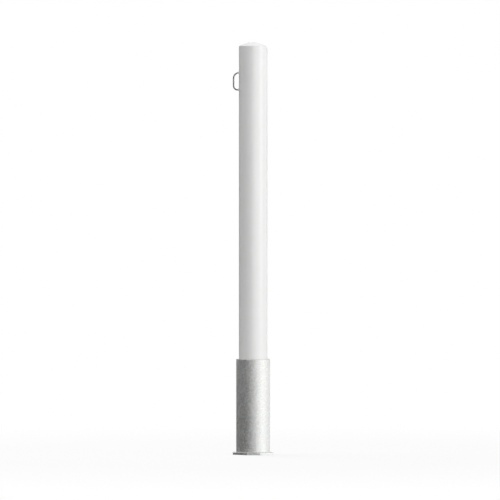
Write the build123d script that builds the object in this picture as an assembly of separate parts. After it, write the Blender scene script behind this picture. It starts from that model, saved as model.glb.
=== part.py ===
from build123d import *
from math import cos, radians, sin, sqrt, tan
import os

# Removable bollard: a capped steel post with a wire loop for a chain, standing in a ground
# sleeve that is welded to a base plate. Millimetres, +Z up, origin at the centre of the base
# plate's underside. The loop is on the -X side, and one cut corner of the plate faces -Y.

# Post
POST_DIAMETER = 76.3
POST_WALL = 3.2
POST_ABOVE_SLEEVE = 850.0
POST_FOOT_BEVEL = 1.2

# Domed cap on the post
CAP_DOME_RADIUS = 74.0
CAP_KNUCKLE_RADIUS = 1.2
CAP_RIM = 1.5
CAP_WALL = 2.6
CAP_SPIGOT_LENGTH = 16.0
CAP_SPIGOT_CLEARANCE = 0.15
CAP_SPIGOT_LEAD = 0.8

# Ground sleeve
SLEEVE_CLEARANCE = 2.65
SLEEVE_WALL = 4.5
SLEEVE_LENGTH = 250.0
SLEEVE_RIM_ROUNDING = 1.0
SLEEVE_MOUTH_BREAK = 0.6

# Base plate, a square with cut corners
PLATE_LEDGE = 5.7
PLATE_THICKNESS = 6.0
PLATE_CORNER_CUT = 25.0
PLATE_EDGE_BREAK = 0.3
DRAIN_DIAMETER = 25.0
BASE_WELD_LEG = 1.8
BASE_WELD_CROWN = 0.2

# Wire loop for the chain
LOOP_WIRE_DIAMETER = 4.0
LOOP_REACH = 16.2
LOOP_HEIGHT = 46.4
LOOP_BELOW_TOP = 81.6
LOOP_UPPER_BEND = 16.0
LOOP_LOWER_BEND = 11.0
LOOP_LOWER_RISE = 20.0
LOOP_WELD_RADIUS = 4.1
LOOP_WELD_SINK = 1.3

# Radii that follow from the post
POST_RADIUS = POST_DIAMETER / 2
POST_BORE = POST_RADIUS - POST_WALL
SLEEVE_BORE = POST_RADIUS + SLEEVE_CLEARANCE
SLEEVE_RADIUS = SLEEVE_BORE + SLEEVE_WALL
PLATE_SIDE = 2 * (SLEEVE_RADIUS + PLATE_LEDGE)

# Heights above the underside of the base plate
PLATE_TOP = PLATE_THICKNESS
SLEEVE_TOP = PLATE_TOP + SLEEVE_LENGTH
CAP_TOP = SLEEVE_TOP + POST_ABOVE_SLEEVE
DOME_CENTRE = CAP_TOP - CAP_DOME_RADIUS
KNUCKLE_CENTRE_RADIUS = POST_RADIUS - CAP_KNUCKLE_RADIUS
KNUCKLE_CENTRE = DOME_CENTRE + sqrt(
    (CAP_DOME_RADIUS - CAP_KNUCKLE_RADIUS) ** 2 - KNUCKLE_CENTRE_RADIUS ** 2
)
CAP_SEAT = KNUCKLE_CENTRE - CAP_RIM

# Line of the loop's wire in the XZ plane: out from the wall, down, and back to the wall
LEG_X = -(POST_RADIUS + LOOP_REACH - LOOP_WIRE_DIAMETER / 2)
UPPER_LEG = CAP_TOP - LOOP_BELOW_TOP
LOWEST_POINT = UPPER_LEG - LOOP_HEIGHT
LOWER_TURN = 90 + LOOP_LOWER_RISE
LOWER_CORNER = LOWEST_POINT + LOOP_LOWER_BEND * (1 - tan(radians(LOWER_TURN / 2)))
LOWER_END = LOWER_CORNER - (LEG_X + POST_RADIUS) * tan(radians(LOOP_LOWER_RISE))
UPPER_SEAT = Vector(-POST_RADIUS, 0, UPPER_LEG)
LOWER_SEAT = Vector(-POST_RADIUS, 0, LOWER_END)
UPPER_DIRECTION = Vector(-1, 0, 0)
LOWER_DIRECTION = Vector(
    -cos(radians(LOOP_LOWER_RISE)), 0, -sin(radians(LOOP_LOWER_RISE))
)


def turned(outline):
    """Solid of revolution about the post's axis, from a face in the XZ plane."""
    return revolve(outline, Axis.Z, 360)


def tube(outer, inner, bottom, top):
    """Plain round tube about the post's axis."""
    section = Circle(outer) - Circle(inner)
    return Pos(0, 0, bottom) * extrude(section, top - bottom)


def post_tube():
    """Round tube, open at its foot, with a bevel that finds the sleeve."""
    body = tube(POST_RADIUS, POST_BORE, PLATE_TOP, CAP_SEAT)
    foot = body.faces().sort_by(Axis.Z)[0].edges().sort_by(SortBy.RADIUS)[-1]
    return chamfer(foot, POST_FOOT_BEVEL)


def cap_skin(dome_radius, knuckle_radius, side_radius, lowest):
    """Face from the axis to a domed outline: dome, knuckle and straight side."""
    turn = (side_radius - knuckle_radius) / (dome_radius - knuckle_radius)
    rise = sqrt(1 - turn ** 2)
    half_rise = sqrt((1 + rise) / 2)
    half_turn = sqrt((1 - rise) / 2)
    crown = (0, DOME_CENTRE + dome_radius)
    dome_middle = (dome_radius * half_turn, DOME_CENTRE + dome_radius * half_rise)
    dome_end = (dome_radius * turn, DOME_CENTRE + dome_radius * rise)
    knuckle_end = (side_radius, DOME_CENTRE + (dome_radius - knuckle_radius) * rise)
    with BuildSketch(Plane.XZ) as skin:
        with BuildLine():
            ThreePointArc(crown, dome_middle, dome_end)
            TangentArc(dome_end, knuckle_end, tangent=(rise, -turn))
            Polyline(knuckle_end, (side_radius, lowest), (0, lowest), crown)
        make_face()
    return skin.sketch


def post_cap():
    """Hollow domed cap: its rim is flush with the post, and its spigot is inside it."""
    spigot_radius = POST_BORE - CAP_SPIGOT_CLEARANCE
    spigot_end = CAP_SEAT - CAP_SPIGOT_LENGTH
    outside = turned(
        cap_skin(CAP_DOME_RADIUS, CAP_KNUCKLE_RADIUS, POST_RADIUS, CAP_SEAT)
    )
    spigot = Pos(0, 0, spigot_end) * extrude(Circle(spigot_radius), CAP_SPIGOT_LENGTH)
    spigot = chamfer(spigot.edges().sort_by(Axis.Z)[0], CAP_SPIGOT_LEAD)
    hollow = turned(
        cap_skin(
            CAP_DOME_RADIUS - CAP_WALL,
            CAP_KNUCKLE_RADIUS,
            spigot_radius - CAP_WALL,
            spigot_end,
        )
    )
    return outside + spigot - hollow


def sleeve_tube():
    """Tube that is set in the ground: its rim is rounded outside and broken inside."""
    body = tube(SLEEVE_RADIUS, SLEEVE_BORE, PLATE_TOP, SLEEVE_TOP)
    rim = body.faces().sort_by(Axis.Z)[-1].edges().sort_by(SortBy.RADIUS)
    body = fillet(rim[-1], SLEEVE_RIM_ROUNDING)
    mouth = body.edges().filter_by(GeomType.CIRCLE).group_by(Axis.Z)[-1]
    return chamfer(mouth.sort_by(SortBy.RADIUS)[0], SLEEVE_MOUTH_BREAK)


def base_plate():
    """Square plate with cut corners, turned so that the cut corners face X and Y."""
    square = Rectangle(PLATE_SIDE, PLATE_SIDE, rotation=45)
    outline = chamfer(square.vertices(), PLATE_CORNER_CUT) - Circle(DRAIN_DIAMETER / 2)
    plate = extrude(outline, PLATE_THICKNESS)
    faces = plate.faces().sort_by(Axis.Z)
    edges = faces[0].edges() + faces[-1].edges()
    return chamfer(edges, PLATE_EDGE_BREAK)


def base_weld():
    """Fillet weld round the sleeve's foot, a little crowned."""
    inner = (SLEEVE_RADIUS, PLATE_TOP)
    toe = (SLEEVE_RADIUS + BASE_WELD_LEG, PLATE_TOP)
    top = (SLEEVE_RADIUS, PLATE_TOP + BASE_WELD_LEG)
    with BuildSketch(Plane.XZ) as bead:
        with BuildLine():
            SagittaArc(toe, top, -BASE_WELD_CROWN)
            Polyline(top, inner, toe)
        make_face()
    return turned(bead.sketch)


def post_space():
    """The round space that the post's tube fills, which the loop's ends are cut to."""
    return Pos(0, 0, PLATE_TOP) * extrude(Circle(POST_RADIUS), CAP_TOP - PLATE_TOP)


def loop_wire():
    """The wire of the loop, run on into the post at both ends."""
    inside = POST_RADIUS / 2
    start = UPPER_SEAT - UPPER_DIRECTION * inside
    upper_corner = Vector(LEG_X, 0, UPPER_LEG)
    lower_corner = Vector(LEG_X, 0, LOWER_CORNER)
    end = LOWER_SEAT - LOWER_DIRECTION * inside
    path = FilletPolyline(
        start, upper_corner, lower_corner, end, radius=[LOOP_UPPER_BEND, LOOP_LOWER_BEND]
    )
    section = Plane(start, z_dir=UPPER_DIRECTION) * Circle(LOOP_WIRE_DIAMETER / 2)
    return sweep(section, path)


def chain_loop():
    """Bent wire loop, its ends cut to the curve of the post."""
    return loop_wire() - post_space()


def loop_weld(seat, direction):
    """Weld bead round one end of the loop: part of a ball, cut to the wall and the wire."""
    ball = Pos(seat - direction * LOOP_WELD_SINK) * Sphere(LOOP_WELD_RADIUS)
    return ball - post_space() - loop_wire()


def upper_loop_weld():
    """Bead at the loop's upper end, which meets the wall square."""
    return loop_weld(UPPER_SEAT, UPPER_DIRECTION)


def lower_loop_weld():
    """Bead at the loop's lower end, which meets the wall at a slant."""
    return loop_weld(LOWER_SEAT, LOWER_DIRECTION)


PIECES = [
    post_tube,
    post_cap,
    chain_loop,
    upper_loop_weld,
    lower_loop_weld,
    sleeve_tube,
    base_plate,
    base_weld,
]

os.makedirs("parts", exist_ok=True)
for piece in PIECES:
    solid = piece()
    export_step(solid, f"parts/{piece.__name__}.step")
    print(f"{piece.__name__}: {solid.volume:.1f} cubic millimetres")
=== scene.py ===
"""Finishes, weld beads and studio for a removable bollard, built round its packed solids."""

import math

import bmesh
import bpy
from bpy.props import FloatProperty, FloatVectorProperty, IntProperty, PointerProperty
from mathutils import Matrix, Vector, noise


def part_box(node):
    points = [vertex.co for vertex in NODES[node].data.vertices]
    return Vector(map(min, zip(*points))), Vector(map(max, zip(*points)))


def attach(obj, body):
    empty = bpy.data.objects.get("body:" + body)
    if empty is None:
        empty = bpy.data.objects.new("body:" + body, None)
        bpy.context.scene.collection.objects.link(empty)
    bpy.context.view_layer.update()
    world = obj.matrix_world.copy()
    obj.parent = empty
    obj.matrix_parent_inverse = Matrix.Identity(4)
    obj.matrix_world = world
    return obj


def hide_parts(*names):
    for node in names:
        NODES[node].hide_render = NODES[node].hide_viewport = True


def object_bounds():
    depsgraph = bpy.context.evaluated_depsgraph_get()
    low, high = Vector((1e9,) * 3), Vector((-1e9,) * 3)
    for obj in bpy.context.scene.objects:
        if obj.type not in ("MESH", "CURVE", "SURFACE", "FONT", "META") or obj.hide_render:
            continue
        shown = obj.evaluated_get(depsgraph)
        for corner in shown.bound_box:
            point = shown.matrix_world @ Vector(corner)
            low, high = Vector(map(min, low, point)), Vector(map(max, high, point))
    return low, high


bl_info = {
    "name": "Removable bollard",
    "version": (1, 0, 0),
    "blender": (4, 5, 0),
    "location": "3D View > Sidebar > Bollard",
    "description": "Finishes, weld beads and studio for a removable bollard",
    "category": "Object",
}

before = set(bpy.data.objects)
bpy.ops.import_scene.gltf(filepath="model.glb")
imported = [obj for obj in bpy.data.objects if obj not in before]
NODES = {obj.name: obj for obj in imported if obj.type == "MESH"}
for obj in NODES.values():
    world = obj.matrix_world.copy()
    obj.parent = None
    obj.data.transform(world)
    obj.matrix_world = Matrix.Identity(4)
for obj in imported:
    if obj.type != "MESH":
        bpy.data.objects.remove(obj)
CAD_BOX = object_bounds()

MM = 0.001

# Sizes of the solids, read from the frame
POST_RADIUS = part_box("post_tube")[1].x
SLEEVE_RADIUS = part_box("sleeve_tube")[1].x
PLATE_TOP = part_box("base_plate")[1].z
OVERALL_HEIGHT = CAD_BOX[1].z
BASE_WELD_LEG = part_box("base_weld")[1].x - SLEEVE_RADIUS
WIRE_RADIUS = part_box("chain_loop")[1].y

# Range that most values of a soft noise lie in
NOISE_RANGE = (0.3, 0.7)

# Paint: its gloss, the width of its clouds, and how far they change its tone and roughness
PAINT_GLOSS = 0.35
PAINT_CLOUD = 60 * MM
PAINT_TONES = (0.985, 1.01)
PAINT_DULLING = 0.03

# Zinc: how far a crystal's outline is bent, as a share of its width, then the clouds and the
# fine grain over the crystals, and the tints that the coolest and warmest crystals have
CRYSTAL_BEND = 0.5
ZINC_CLOUD = 35 * MM
ZINC_CLOUD_TONES = (0.985, 1.015)
ZINC_GRAIN = 0.9 * MM
ZINC_GRAIN_TONES = (0.97, 1.03)
ZINC_GRAIN_DEPTH = 0.03 * MM
COOL_TINT = Vector((0.97, 1.0, 1.03))
WARM_TINT = Vector((1.02, 1.0, 0.97))

# Wire: the length and depth of its fine lines, and how far they change its tone and roughness
WIRE_LINE_LENGTH = 20 * MM
WIRE_LINE_DEPTH = 0.006 * MM
WIRE_TONES = (0.88, 1.1)
WIRE_DULLING = 0.06

# Beads at the loop's ends: balls that sit in the wall and end inside the wire, each leaning
# down from the wall by about as many degrees as the wire does there. They stay a little
# inside the solid beads, and start within the wall, at an angle in degrees. Their lumps come
# from soft noise, shifted so that the two beads differ.
BEAD_RADIUS = 4.1 * MM
BEAD_SINK = 1.3 * MM
BEAD_OVERLAP = 0.2 * MM
BEAD_LEANS = {"upper": 9.0, "lower": 13.0}
BEAD_MARGIN = 0.1 * MM
BEAD_START = -10.0
BEAD_RINGS = 14
LUMP_DEPTH = 0.22 * MM
LUMPS_A_RADIUS = 1.5
LUMP_SHIFT = 100

# Weld round the sleeve's foot: its width on the plate, as a share of its height on the
# sleeve, how far it is crowned, how deep it is sunk in both, how much smaller than the solid
# weld it is, the points across it, and how far and how often its height wanders
WELD_TOE = 0.5
WELD_CROWN = 0.1 * MM
WELD_SINK = 0.3 * MM
WELD_MARGIN = 0.12 * MM
WELD_POINTS = 9
WANDER_DEPTH = 0.14 * MM
WANDERS_A_RADIUS = 3.0

# Ripples of the welds: how strongly each one bows, the power by which it rises, the level
# that it rises through, and how finely it is divided
RIPPLE_BOW = 2.4
RIPPLE_POWER = 0.5
RIPPLE_LEVEL = 0.6
STEPS_A_RIPPLE = 6

# Photograph: its frame, in pixels, and where the bollard stands in it
PHOTO_WIDTH = 500
PIXEL = 2.682 * MM
AXIS_COLUMN = 253.12
TOP_ROW = 42.1

# Camera: its place and reach in metres, and the width of its sensor in millimetres
CAMERA_DISTANCE = 18.0
CAMERA_HEIGHT = 0.78
CAMERA_REACH = 200.0
SENSOR_WIDTH = 36.0

# Tall lamps round the bollard: name, azimuth in degrees and width in metres
SIDE_LAMPS = (
    ("key", 66, 5.0),
    ("fill", 19, 5.0),
    ("right", 120, 2.4),
    ("rim", 154, 2.4),
    ("left", -116, 2.4),
    ("back", 180, 3.6),
)
LAMP_DISTANCE = 9.0
LAMP_LEVEL = 1.15
LAMP_HEIGHT = 3.2
TOP_LAMP_PLACE = Vector((-3.0, 2.0, 8.5))
TOP_LAMP_SIZE = 6.0

# Floor: half its width, how far it lies under the base plate, its tone where it is seen, the
# share of what is seen that glows near the bollard and far from it, and those two distances
FLOOR_HALF = 40.0
FLOOR_DEPTH = 0.2 * MM
FLOOR_TONE = 0.9
FLOOR_GLOW = (0.8, 1.0)
FLOOR_GLOW_REACH = (0.8, 2.0)

# Dark cards: name, radius in metres, first and last azimuth in degrees, height in metres and
# tone, where 1 is white
DARK_CARDS = (
    ("left_card", 2.5, 30, -70, 8.0, 0.042),
    ("side_card", 2.5, -70, -150, 8.0, 0.08),
    ("back_card", 1.1, -150, -210, 1.2, 0.03),
)
CARD_STEPS = 24

# Dark mat of the dark cards: from where to where it reaches round the bollard, and how far
# it lies under the base plate
MAT_REACH = (0.03, 1.65)
MAT_DEPTH = 0.1 * MM

WHITE = (1, 1, 1, 1)


# Settings that a user would change

class PaintSettings(bpy.types.PropertyGroup):
    """White baked paint of the post and its cap."""

    colour: FloatVectorProperty(
        name="Paint colour",
        description="Colour of the baked paint",
        subtype="COLOR",
        size=3,
        min=0.0,
        max=1.0,
        default=(0.86, 0.86, 0.855),
    )
    roughness: FloatProperty(
        name="Paint roughness",
        description="0 is a mirror and 1 is chalk",
        subtype="FACTOR",
        min=0.0,
        max=1.0,
        default=0.35,
    )
    peel_size: FloatProperty(
        name="Peel size",
        description="Width of the slow waves that baked paint sets with",
        unit="LENGTH",
        min=0.0002,
        max=0.02,
        default=0.0022,
    )
    peel_depth: FloatProperty(
        name="Peel depth",
        description="Depth of those waves",
        unit="LENGTH",
        min=0.0,
        max=0.001,
        default=0.000012,
    )


class ZincSettings(bpy.types.PropertyGroup):
    """Hot-dipped zinc of the sleeve, its plate and its weld."""

    colour: FloatVectorProperty(
        name="Zinc colour",
        description="Colour of the zinc coat at its mean tone",
        subtype="COLOR",
        size=3,
        min=0.0,
        max=1.0,
        default=(0.677, 0.679, 0.668),
    )
    roughness: FloatProperty(
        name="Zinc roughness",
        description="Mean roughness of the zinc coat",
        subtype="FACTOR",
        min=0.0,
        max=1.0,
        default=0.65,
    )
    metallic: FloatProperty(
        name="Zinc metal share",
        description="Share of the coat that is bare metal, the rest being its dull skin",
        subtype="FACTOR",
        min=0.0,
        max=1.0,
        default=0.78,
    )
    spangle_size: FloatProperty(
        name="Spangle size",
        description="Width of one crystal of the zinc",
        unit="LENGTH",
        min=0.0005,
        max=0.05,
        default=0.0032,
    )
    spangle_spread: FloatProperty(
        name="Spangle spread",
        description="How far the crystals differ in tone",
        subtype="FACTOR",
        min=0.0,
        max=1.0,
        default=0.07,
    )
    skin_spread: FloatProperty(
        name="Skin spread",
        description="How far the crystals differ in their share of bare metal",
        subtype="FACTOR",
        min=0.0,
        max=0.5,
        default=0.2,
    )
    sheen_spread: FloatProperty(
        name="Sheen spread",
        description="How far the crystals differ in roughness",
        subtype="FACTOR",
        min=0.0,
        max=0.5,
        default=0.02,
    )
    # Painted shade: darkens the zinc over the foot's weld, whose upward face catches more lamp
    # light
    weld_shade_tone: FloatProperty(
        name="Weld tone",
        description="Tone of the zinc over the foot's weld, as a share of the rest",
        subtype="FACTOR",
        min=0.0,
        max=1.0,
        default=0.92,
    )
    drip_depth: FloatProperty(
        name="Drip depth",
        description="Depth of the unevenness that the zinc sets with, from crystal to crystal",
        unit="LENGTH",
        min=0.0,
        max=0.002,
        default=0.00005,
    )


class WireSettings(bpy.types.PropertyGroup):
    """Bare bent wire of the chain loop."""

    colour: FloatVectorProperty(
        name="Wire colour",
        description="Colour of the bare wire",
        subtype="COLOR",
        size=3,
        min=0.0,
        max=1.0,
        default=(0.5, 0.5, 0.49),
    )
    roughness: FloatProperty(
        name="Wire roughness",
        description="Mean roughness of the bare wire",
        subtype="FACTOR",
        min=0.0,
        max=1.0,
        default=0.34,
    )
    line_pitch: FloatProperty(
        name="Draw line pitch",
        description="Distance between the fine lines that the drawing die leaves",
        unit="LENGTH",
        min=0.00002,
        max=0.005,
        default=0.00022,
    )


class WeldSettings(bpy.types.PropertyGroup):
    """Weld round the sleeve's foot and beads at the loop's two ends."""

    ripple_pitch: FloatProperty(
        name="Ripple pitch",
        description="Distance from one ripple of the foot's weld to the next",
        unit="LENGTH",
        min=0.0003,
        max=0.01,
        default=0.0016,
    )
    ripple_depth: FloatProperty(
        name="Ripple depth",
        description="Depth of the welds' ripples",
        unit="LENGTH",
        min=0.0,
        max=0.001,
        default=0.00012,
    )
    bead_ripples: IntProperty(
        name="Bead ripples",
        description="Ripples round each bead of the loop",
        min=3,
        max=40,
        default=11,
    )


class StudioSettings(bpy.types.PropertyGroup):
    """Lamps and floor of the studio."""

    floor_colour: FloatVectorProperty(
        name="Floor colour",
        description="Colour of the floor where it lights the bollard",
        subtype="COLOR",
        size=3,
        min=0.0,
        max=1.0,
        default=(0.35, 0.35, 0.35),
    )
    key_power: FloatProperty(
        name="Key lamp",
        description="Power of the wide lamp at the right",
        unit="POWER",
        min=0.0,
        default=374.0,
    )
    fill_power: FloatProperty(
        name="Fill lamp",
        description="Power of the wide lamp beside the camera",
        unit="POWER",
        min=0.0,
        default=322.0,
    )
    right_power: FloatProperty(
        name="Right edge lamp",
        description="Power of the lamp at the right and a little behind",
        unit="POWER",
        min=0.0,
        default=39.0,
    )
    rim_power: FloatProperty(
        name="Rim lamp",
        description="Power of the lamp behind and to the right",
        unit="POWER",
        min=0.0,
        default=22.0,
    )
    left_power: FloatProperty(
        name="Left edge lamp",
        description="Power of the lamp at the left and a little behind",
        unit="POWER",
        min=0.0,
        default=20.0,
    )
    back_power: FloatProperty(
        name="Back lamp",
        description="Power of the lamp straight behind",
        unit="POWER",
        min=0.0,
        default=249.0,
    )
    top_power: FloatProperty(
        name="Top lamp",
        description="Power of the lamp above",
        unit="POWER",
        min=0.0,
        default=465.0,
    )
    world_fill: FloatProperty(
        name="Room light",
        description="Even light from all round, where 1 is white",
        subtype="FACTOR",
        min=0.0,
        max=1.0,
        default=0.34,
    )


SETTINGS = {
    "bollard_paint": PaintSettings,
    "bollard_zinc": ZincSettings,
    "bollard_wire": WireSettings,
    "bollard_weld": WeldSettings,
    "bollard_studio": StudioSettings,
}


# Node helpers

def add_node(tree, kind, **values):
    """Adds a node, with its own settings and the values of its sockets by name."""
    node = tree.nodes.new(kind)
    for name, value in values.items():
        socket = node.inputs.get(name.replace("_", " "))
        if hasattr(node, name):
            setattr(node, name, value)
        elif socket is not None:
            socket.default_value = value
        else:
            raise ValueError(f"{kind} has no {name}")
    return node


def new_finish(name, colour, roughness, metallic):
    """A material with one shader, whose even values stand on the shader itself."""
    material = bpy.data.materials.new(name)
    material.use_nodes = True
    tree = material.node_tree
    shader = tree.nodes["Principled BSDF"]
    shader.inputs["Base Color"].default_value = (*colour, 1.0)
    shader.inputs["Roughness"].default_value = roughness
    shader.inputs["Metallic"].default_value = metallic
    return material, tree, shader


def bare_material(name):
    """A material that has no nodes yet."""
    material = bpy.data.materials.new(name)
    material.use_nodes = True
    material.node_tree.nodes.clear()
    return material, material.node_tree


def place_on_solid(tree, scale=(1.0, 1.0, 1.0)):
    """The point on the solid, in metres, stretched by scale."""
    place = add_node(tree, "ShaderNodeTexCoord")
    stretch = add_node(tree, "ShaderNodeMapping", Scale=scale)
    tree.links.new(place.outputs["Object"], stretch.inputs["Vector"])
    return stretch.outputs["Vector"]


def noise_field(tree, place, size, detail, roughness=0.5):
    """Soft noise whose waves are about size metres wide."""
    field = add_node(
        tree, "ShaderNodeTexNoise", Scale=1 / size, Detail=detail, Roughness=roughness
    )
    tree.links.new(place, field.inputs["Vector"])
    return field.outputs["Fac"]


def to_range(tree, value, lowest, highest, from_lowest=0.0, from_highest=1.0):
    """Spreads a value between two others."""
    spread = add_node(tree, "ShaderNodeMapRange")
    spread.inputs["From Min"].default_value = from_lowest
    spread.inputs["From Max"].default_value = from_highest
    spread.inputs["To Min"].default_value = lowest
    spread.inputs["To Max"].default_value = highest
    tree.links.new(value, spread.inputs["Value"])
    return spread.outputs["Result"]


def spread_noise(tree, field, lowest, highest):
    """Spreads soft noise between two values."""
    return to_range(tree, field, lowest, highest, *NOISE_RANGE)


def product(tree, first, second):
    """Two values that vary over the surface, multiplied."""
    both = add_node(tree, "ShaderNodeMath", operation="MULTIPLY")
    tree.links.new(first, both.inputs[0])
    tree.links.new(second, both.inputs[1])
    return both.outputs["Value"]


def toned(tree, colour, tone):
    """A colour, even or varying, multiplied by a tone that varies over the surface."""
    scaled = add_node(tree, "ShaderNodeVectorMath", operation="SCALE")
    if isinstance(colour, bpy.types.NodeSocket):
        tree.links.new(colour, scaled.inputs[0])
    else:
        scaled.inputs[0].default_value = colour
    tree.links.new(tone, scaled.inputs["Scale"])
    return scaled.outputs["Vector"]


def bump(tree, shader, *reliefs):
    """Raises the surface by one relief on another: a height, and the metres that 1 means."""
    below = None
    for height, depth in reliefs:
        relief = add_node(tree, "ShaderNodeBump", Strength=1.0, Distance=depth)
        tree.links.new(height, relief.inputs["Height"])
        if below is not None:
            tree.links.new(below, relief.inputs["Normal"])
        below = relief.outputs["Normal"]
    tree.links.new(below, shader.inputs["Normal"])


# Finishes

def baked_paint(settings):
    """White baked paint: slow waves in the surface, and a sheen that varies a little."""
    material, tree, shader = new_finish(
        "baked_paint", settings.colour, settings.roughness, 0.0
    )
    shader.inputs["Specular IOR Level"].default_value = PAINT_GLOSS
    place = place_on_solid(tree)
    waves = noise_field(tree, place, settings.peel_size, detail=2.0)
    cloud = noise_field(tree, place, PAINT_CLOUD, detail=3.0)
    tone = spread_noise(tree, cloud, *PAINT_TONES)
    tree.links.new(toned(tree, settings.colour, tone), shader.inputs["Base Color"])
    dull = spread_noise(
        tree, cloud, settings.roughness - PAINT_DULLING, settings.roughness + PAINT_DULLING
    )
    tree.links.new(dull, shader.inputs["Roughness"])
    bump(tree, shader, (waves, settings.peel_depth))
    return material


def crystals(tree, place, size):
    """Three random values for each crystal of the zinc, each crystal size metres wide."""
    warp = add_node(tree, "ShaderNodeTexNoise", Scale=1 / size, Detail=2.0)
    tree.links.new(place, warp.inputs["Vector"])
    bent = add_node(tree, "ShaderNodeVectorMath", operation="MULTIPLY_ADD")
    bent.inputs[1].default_value = [size * CRYSTAL_BEND] * 3
    tree.links.new(warp.outputs["Color"], bent.inputs[0])
    tree.links.new(place, bent.inputs[2])
    crystal = add_node(tree, "ShaderNodeTexVoronoi", Scale=1 / size)
    tree.links.new(bent.outputs["Vector"], crystal.inputs["Vector"])
    parts = add_node(tree, "ShaderNodeSeparateColor")
    tree.links.new(crystal.outputs["Color"], parts.inputs["Color"])
    return [parts.outputs[name] for name in ("Red", "Green", "Blue")]


def zinc_tone(tree, place, by_crystal, grain):
    """Tone of the zinc: each crystal's own, under slow clouds and a fine grain."""
    cloud = noise_field(tree, place, ZINC_CLOUD, detail=4.0, roughness=0.6)
    by_cloud = spread_noise(tree, cloud, *ZINC_CLOUD_TONES)
    by_grain = spread_noise(tree, grain, *ZINC_GRAIN_TONES)
    return product(tree, product(tree, by_crystal, by_cloud), by_grain)


def zinc_tint(tree, colour, warmth):
    """The zinc's colour, cooler on some crystals and warmer on others."""
    tint = add_node(tree, "ShaderNodeMix", data_type="RGBA", blend_type="MIX")
    tint.inputs["A"].default_value = (*(colour * COOL_TINT), 1.0)
    tint.inputs["B"].default_value = (*(colour * WARM_TINT), 1.0)
    tree.links.new(warmth, tint.inputs["Factor"])
    return tint.outputs["Result"]


def zinc_coat(name, settings, painted_shade_tone):
    """Hot-dipped zinc: crystals that differ in tone, tint, sheen and share of bare metal."""
    metallic = settings.metallic
    roughness = settings.roughness
    material, tree, shader = new_finish(name, settings.colour, roughness, metallic)
    place = place_on_solid(tree)
    paleness, warmth, dullness = crystals(tree, place, settings.spangle_size)
    grain = noise_field(tree, place, ZINC_GRAIN, detail=2.0)

    spread = settings.spangle_spread
    by_crystal = to_range(tree, paleness, 1 - spread, 1 + spread)
    tone = zinc_tone(tree, place, by_crystal, grain)
    # The last argument darkens the whole coat's colour as painted shade; 1 leaves it unshaded
    tint = zinc_tint(tree, Vector(settings.colour) * painted_shade_tone, warmth)
    tree.links.new(toned(tree, tint, tone), shader.inputs["Base Color"])

    # The palest crystals have the most dull skin
    spread = settings.skin_spread
    bare = to_range(tree, paleness, metallic + spread, metallic - spread)
    tree.links.new(bare, shader.inputs["Metallic"])

    spread = settings.sheen_spread
    dull = to_range(tree, dullness, roughness - spread, roughness + spread)
    tree.links.new(dull, shader.inputs["Roughness"])

    drips = noise_field(tree, place, settings.spangle_size, detail=1.0)
    bump(tree, shader, (grain, ZINC_GRAIN_DEPTH), (drips, settings.drip_depth))
    return material


def dipped_zinc(settings):
    """The zinc of the sleeve and its plate."""
    return zinc_coat("dipped_zinc", settings, 1.0)


def weld_zinc(settings):
    """The zinc over the foot's weld, made darker by painted shade over its upward face."""
    return zinc_coat("weld_zinc", settings, settings.weld_shade_tone)


def bare_wire(settings):
    """Bare drawn wire: fine lines that run along it, through its bends too."""
    material, tree, shader = new_finish(
        "bare_wire", settings.colour, settings.roughness, 1.0
    )
    along = 1 / WIRE_LINE_LENGTH
    place = place_on_solid(tree, (along, 1 / settings.line_pitch, along))
    lines = noise_field(tree, place, 1.0, detail=3.0)
    tone = spread_noise(tree, lines, *WIRE_TONES)
    tree.links.new(toned(tree, settings.colour, tone), shader.inputs["Base Color"])
    dull = spread_noise(
        tree, lines, settings.roughness - WIRE_DULLING, settings.roughness + WIRE_DULLING
    )
    tree.links.new(dull, shader.inputs["Roughness"])
    bump(tree, shader, (lines, WIRE_LINE_DEPTH))
    return material


def finish(name, maker, settings):
    """The finish of that name, made once and then shared."""
    return bpy.data.materials.get(name) or maker(settings)


def dress(piece, material):
    """Puts one material on a piece, in place of what it came with."""
    piece.data.materials.clear()
    piece.data.materials.append(material)


# Meshes

def mesh_object(name, bm, material):
    """Turns a bmesh into an object of the scene."""
    mesh = bpy.data.meshes.new(name)
    bm.to_mesh(mesh)
    bm.free()
    piece = bpy.data.objects.new(name, mesh)
    bpy.context.scene.collection.objects.link(piece)
    dress(piece, material)
    return piece


def mesh_piece(name, bm, body, material):
    """Turns a bmesh into a smooth piece that rides on a body."""
    bmesh.ops.recalc_face_normals(bm, faces=bm.faces)
    piece = mesh_object(name, bm, material)
    faces = piece.data.polygons
    faces.foreach_set("use_smooth", [True] * len(faces))
    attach(piece, body)
    return piece


def join_rings(bm, rings, closed):
    """Fills the faces between rings of points, which are lists of bmesh vertices."""
    pairs = list(zip(rings, rings[1:]))
    if closed:
        pairs.append((rings[-1], rings[0]))
    for low, high in pairs:
        count = len(low)
        for i in range(count):
            j = (i + 1) % count
            bm.faces.new((low[i], low[j], high[j], high[i]))


def ripple(place, share, depth):
    """Height of a weld's ripples, at a place counted in ripples and a share across it."""
    lag = (share - 0.5) ** 2 * RIPPLE_BOW
    phase = (place + lag) % 1.0
    return depth * (phase ** RIPPLE_POWER - RIPPLE_LEVEL) * math.sin(math.pi * share)


def foot_weld_section(place, leg, depth):
    """Outline of the foot's weld, as radii and heights, at a place counted in ripples."""
    toe = leg * WELD_TOE
    outward = Vector((leg, toe)).normalized()
    buried = PLATE_TOP - WELD_SINK
    outline = [(SLEEVE_RADIUS - WELD_SINK, buried), (SLEEVE_RADIUS + toe, buried)]
    for i in range(WELD_POINTS):
        share = i / (WELD_POINTS - 1)
        swell = WELD_CROWN * 4 * share * (1 - share) + ripple(place, share, depth)
        flat = Vector((SLEEVE_RADIUS + toe * (1 - share), PLATE_TOP + leg * share))
        outline.append(tuple(flat + outward * swell))
    outline.append((SLEEVE_RADIUS - WELD_SINK, PLATE_TOP + leg))
    return outline


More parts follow.
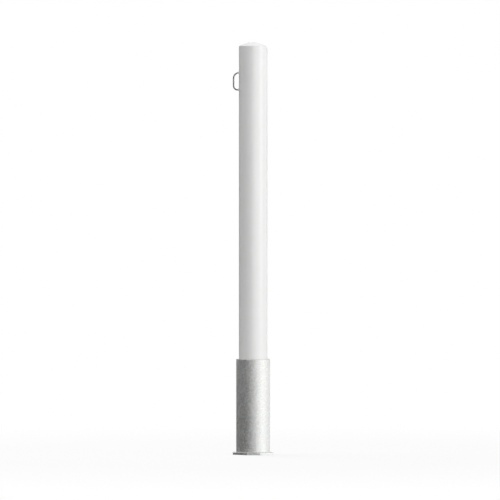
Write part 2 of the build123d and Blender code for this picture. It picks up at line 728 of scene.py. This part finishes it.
def foot_weld_mesh(settings):
    """Steep fillet weld round the sleeve's foot, rippled as it was laid."""
    ripples = round(2 * math.pi * SLEEVE_RADIUS / settings.ripple_pitch)
    steps = ripples * STEPS_A_RIPPLE
    bm = bmesh.new()
    rings = []
    for step in range(steps):
        turn = 2 * math.pi * step / steps
        out = Vector((math.cos(turn), math.sin(turn), 0))
        wander = noise.noise(out * WANDERS_A_RADIUS) * WANDER_DEPTH
        leg = BASE_WELD_LEG - WELD_MARGIN + wander
        outline = foot_weld_section(step / STEPS_A_RIPPLE, leg, settings.ripple_depth)
        rings.append([bm.verts.new((out.x * r, out.y * r, z)) for r, z in outline])
    join_rings(bm, rings, True)
    return bm


def loop_bead_mesh(node, lean, settings):
    """Rippled bead round one end of the loop's wire, leaning as the wire does there."""
    low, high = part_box(node)
    slant = math.radians(lean)
    along = Vector((-math.cos(slant), 0, -math.sin(slant)))
    side = Vector((0, 1, 0))
    over = along.cross(side)
    middle = Vector((0, 0, (low.z + high.z) / 2))
    middle.x = BEAD_SINK * math.cos(slant) - POST_RADIUS
    steps = settings.bead_ripples * STEPS_A_RIPPLE
    first = math.radians(BEAD_START)
    last = math.acos((WIRE_RADIUS - BEAD_OVERLAP) / BEAD_RADIUS)
    bm = bmesh.new()
    rings = []
    for i in range(BEAD_RINGS):
        share = i / (BEAD_RINGS - 1)
        angle = first + (last - first) * share
        ring = []
        for step in range(steps):
            turn = 2 * math.pi * step / steps
            out = side * math.cos(turn) + over * math.sin(turn)
            size = BEAD_RADIUS - BEAD_MARGIN
            size += noise.noise(out * LUMPS_A_RADIUS + middle * LUMP_SHIFT) * LUMP_DEPTH
            size += ripple(step / STEPS_A_RIPPLE, share, settings.ripple_depth)
            point = middle + along * size * math.sin(angle) + out * size * math.cos(angle)
            ring.append(bm.verts.new(point))
        rings.append(ring)
    join_rings(bm, rings, False)
    bm.faces.new(rings[0])
    bm.faces.new(rings[-1])
    return bm


# Operators

class BOLLARD_OT_paint_post(bpy.types.Operator):
    """Paints the post's tube and its domed cap"""

    bl_idname = "bollard.paint_post"
    bl_label = "Paint the post"

    def execute(self, context):
        paint = finish("baked_paint", baked_paint, context.scene.bollard_paint)
        for name in ("post_tube", "post_cap"):
            dress(NODES[name], paint)
        return {"FINISHED"}


class BOLLARD_OT_dress_loop(bpy.types.Operator):
    """Finishes the wire loop and the beads at its ends"""

    bl_idname = "bollard.dress_loop"
    bl_label = "Finish the chain loop"

    def execute(self, context):
        wire = finish("bare_wire", bare_wire, context.scene.bollard_wire)
        paint = finish("baked_paint", baked_paint, context.scene.bollard_paint)
        dress(NODES["chain_loop"], wire)
        for name, lean in BEAD_LEANS.items():
            node = f"{name}_loop_weld"
            bm = loop_bead_mesh(node, lean, context.scene.bollard_weld)
            bead = mesh_piece(f"{name}_bead", bm, "post", paint)
            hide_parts(node)
        return {"FINISHED"}


class BOLLARD_OT_dress_sleeve(bpy.types.Operator):
    """Gives the ground sleeve and its base plate their zinc"""

    bl_idname = "bollard.dress_sleeve"
    bl_label = "Finish the ground sleeve"

    def execute(self, context):
        zinc = finish("dipped_zinc", dipped_zinc, context.scene.bollard_zinc)
        for name in ("sleeve_tube", "base_plate"):
            dress(NODES[name], zinc)
        return {"FINISHED"}


class BOLLARD_OT_lay_foot_weld(bpy.types.Operator):
    """Lays the rippled weld round the sleeve's foot"""

    bl_idname = "bollard.lay_foot_weld"
    bl_label = "Lay the foot's weld"

    def execute(self, context):
        # This zinc carries painted shade over the weld's upward face
        zinc = finish("weld_zinc", weld_zinc, context.scene.bollard_zinc)
        bm = foot_weld_mesh(context.scene.bollard_weld)
        bead = mesh_piece("foot_weld", bm, "sleeve", zinc)
        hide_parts("base_weld")
        return {"FINISHED"}


# Studio

def spot(azimuth, distance, height):
    """A place round the bollard. Azimuth 0 is towards the camera and 90 is at the right."""
    turn = math.radians(azimuth)
    return Vector((distance * math.sin(turn), -distance * math.cos(turn), height))


def set_up(name, data, place, target):
    """Puts a lamp or a camera at a place in the scene, facing the target."""
    holder = bpy.data.objects.new(name, data)
    holder.location = place
    holder.rotation_euler = (target - place).to_track_quat("-Z", "Y").to_euler()
    bpy.context.scene.collection.objects.link(holder)
    return holder


def lamp(name, place, target, width, height, power):
    """A flat soft lamp that faces the target."""
    data = bpy.data.lights.new(name, "AREA")
    data.shape = "RECTANGLE"
    data.size = width
    data.size_y = height
    data.energy = power
    holder = set_up(name, data, place, target)
    holder.visible_camera = False


def studio_lamps(settings):
    """The tall lamps round the bollard and the wide one above it."""
    level = Vector((0, 0, LAMP_LEVEL))
    for name, azimuth, width in SIDE_LAMPS:
        place = spot(azimuth, LAMP_DISTANCE, LAMP_LEVEL)
        power = getattr(settings, f"{name}_power")
        lamp(name, place, level, width, LAMP_HEIGHT, power)
    foot = Vector((0, 0, 0))
    lamp("top", TOP_LAMP_PLACE, foot, TOP_LAMP_SIZE, TOP_LAMP_SIZE, settings.top_power)


def white_where_seen(tree, seen, unseen):
    """Mixes two shaders: one for what is seen or mirrored, and one for lighting."""
    path = add_node(tree, "ShaderNodeLightPath")
    some = add_node(tree, "ShaderNodeMath", operation="MAXIMUM")
    every = add_node(tree, "ShaderNodeMath", operation="MAXIMUM")
    tree.links.new(path.outputs["Is Camera Ray"], some.inputs[0])
    tree.links.new(path.outputs["Is Glossy Ray"], some.inputs[1])
    tree.links.new(some.outputs["Value"], every.inputs[0])
    tree.links.new(path.outputs["Is Transmission Ray"], every.inputs[1])
    choice = add_node(tree, "ShaderNodeMixShader")
    tree.links.new(every.outputs["Value"], choice.inputs["Fac"])
    tree.links.new(unseen, choice.inputs[1])
    tree.links.new(seen, choice.inputs[2])
    return choice.outputs["Shader"]


def studio_world(settings):
    """White where it is seen or mirrored, and a low even light elsewhere."""
    world = bpy.data.worlds.new("studio")
    world.use_nodes = True
    tree = world.node_tree
    tree.nodes.clear()
    white = add_node(tree, "ShaderNodeBackground", Color=WHITE, Strength=1.0)
    room = add_node(
        tree, "ShaderNodeBackground", Color=WHITE, Strength=settings.world_fill
    )
    output = add_node(tree, "ShaderNodeOutputWorld")
    shown = white_where_seen(
        tree, white.outputs["Background"], room.outputs["Background"]
    )
    tree.links.new(shown, output.inputs["Surface"])
    bpy.context.scene.world = world


def floor_finish(settings):
    """Pale floor: white where it is seen, apart from the bollard's faint shadow."""
    material, tree = bare_material("floor")
    tone = (FLOOR_TONE, FLOOR_TONE, FLOOR_TONE, 1)
    lit = add_node(tree, "ShaderNodeBsdfDiffuse", Color=tone)
    glow = add_node(tree, "ShaderNodeEmission", Color=WHITE, Strength=1.0)
    plain = add_node(tree, "ShaderNodeBsdfDiffuse", Color=(*settings.floor_colour, 1))
    place = add_node(tree, "ShaderNodeTexCoord")
    far = add_node(tree, "ShaderNodeVectorMath", operation="LENGTH")
    tree.links.new(place.outputs["Object"], far.inputs[0])
    share = to_range(tree, far.outputs["Value"], *FLOOR_GLOW, *FLOOR_GLOW_REACH)
    seen = add_node(tree, "ShaderNodeMixShader")
    tree.links.new(share, seen.inputs["Fac"])
    tree.links.new(lit.outputs["BSDF"], seen.inputs[1])
    tree.links.new(glow.outputs["Emission"], seen.inputs[2])
    output = add_node(tree, "ShaderNodeOutputMaterial")
    shown = white_where_seen(tree, seen.outputs["Shader"], plain.outputs["BSDF"])
    tree.links.new(shown, output.inputs["Surface"])
    return material


def studio_floor(settings):
    """A level floor under the base plate."""
    bm = bmesh.new()
    bmesh.ops.create_grid(bm, x_segments=1, y_segments=1, size=FLOOR_HALF)
    floor = mesh_object("floor", bm, floor_finish(settings))
    floor.location.z = -FLOOR_DEPTH


def card_finish(name, tone):
    """An even dark tone, whatever light falls on it."""
    material, tree = bare_material(name)
    dark = add_node(tree, "ShaderNodeEmission", Color=WHITE, Strength=tone)
    output = add_node(tree, "ShaderNodeOutputMaterial")
    tree.links.new(dark.outputs["Emission"], output.inputs["Surface"])
    return material


def dark_card(name, radius, first, last, height, tone):
    """A curved dark card with a dark mat on the floor, seen in reflections alone."""
    near, far = MAT_REACH
    bm = bmesh.new()
    strips = []
    for step in range(CARD_STEPS + 1):
        azimuth = first + (last - first) * step / CARD_STEPS
        mat = [spot(azimuth, reach, -MAT_DEPTH) for reach in (near, min(far, radius))]
        wall = [spot(azimuth, radius, level) for level in (-MAT_DEPTH, height)]
        strips.append([bm.verts.new(point) for point in mat + wall])
    for low, high in zip(strips, strips[1:]):
        # Points 0 and 1 bound the mat, and points 2 and 3 the card
        for i in (0, 2):
            bm.faces.new((low[i], low[i + 1], high[i + 1], high[i]))
    card = mesh_object(name, bm, card_finish(name, tone))
    card.visible_camera = False
    card.visible_diffuse = False
    card.visible_shadow = False
    card.visible_transmission = False


def studio_camera():
    """Camera at the photograph's viewing angle and framing."""
    data = bpy.data.cameras.new("camera")
    data.sensor_width = SENSOR_WIDTH
    data.lens = SENSOR_WIDTH * CAMERA_DISTANCE / (PHOTO_WIDTH * PIXEL)
    data.clip_end = CAMERA_REACH
    side = (PHOTO_WIDTH / 2 - AXIS_COLUMN) * PIXEL
    middle = OVERALL_HEIGHT - (PHOTO_WIDTH / 2 - TOP_ROW) * PIXEL
    place = Vector((side, -CAMERA_DISTANCE, CAMERA_HEIGHT))
    target = Vector((side, 0, middle))
    bpy.context.scene.camera = set_up("camera", data, place, target)


class BOLLARD_OT_set_stage(bpy.types.Operator):
    """Sets up the floor, the lamps, the dark cards and the camera"""

    bl_idname = "bollard.set_stage"
    bl_label = "Set the stage"

    def execute(self, context):
        studio = context.scene.bollard_studio
        studio_world(studio)
        studio_floor(studio)
        studio_lamps(studio)
        for card in DARK_CARDS:
            dark_card(*card)
        studio_camera()
        context.scene.view_settings.view_transform = "Standard"
        return {"FINISHED"}


class BOLLARD_PT_panel(bpy.types.Panel):
    """Settings and steps of the bollard"""

    bl_idname = "BOLLARD_PT_panel"
    bl_label = "Bollard"
    bl_space_type = "VIEW_3D"
    bl_region_type = "UI"
    bl_category = "Bollard"

    def draw(self, context):
        layout = self.layout
        for step in STEPS:
            layout.operator(step.bl_idname)
        for name, group in SETTINGS.items():
            box = layout.box()
            box.label(text=group.__doc__)
            for prop in group.__annotations__:
                box.prop(getattr(context.scene, name), prop)


STEPS = (
    BOLLARD_OT_paint_post,
    BOLLARD_OT_dress_loop,
    BOLLARD_OT_dress_sleeve,
    BOLLARD_OT_lay_foot_weld,
    BOLLARD_OT_set_stage,
)
CLASSES = (*SETTINGS.values(), *STEPS, BOLLARD_PT_panel)


def register():
    """Registers the classes, and gives the scene its settings."""
    for cls in CLASSES:
        bpy.utils.register_class(cls)
    for name, group in SETTINGS.items():
        setattr(bpy.types.Scene, name, PointerProperty(type=group))


def unregister():
    """Takes the settings and the classes away again."""
    for name in SETTINGS:
        delattr(bpy.types.Scene, name)
    for cls in reversed(CLASSES):
        bpy.utils.unregister_class(cls)


def main():
    """Dresses the bollard and sets its stage."""
    register()
    bpy.ops.bollard.paint_post()
    bpy.ops.bollard.dress_loop()
    bpy.ops.bollard.dress_sleeve()
    bpy.ops.bollard.lay_foot_weld()
    bpy.ops.bollard.set_stage()


if __name__ == "__main__":
    main()
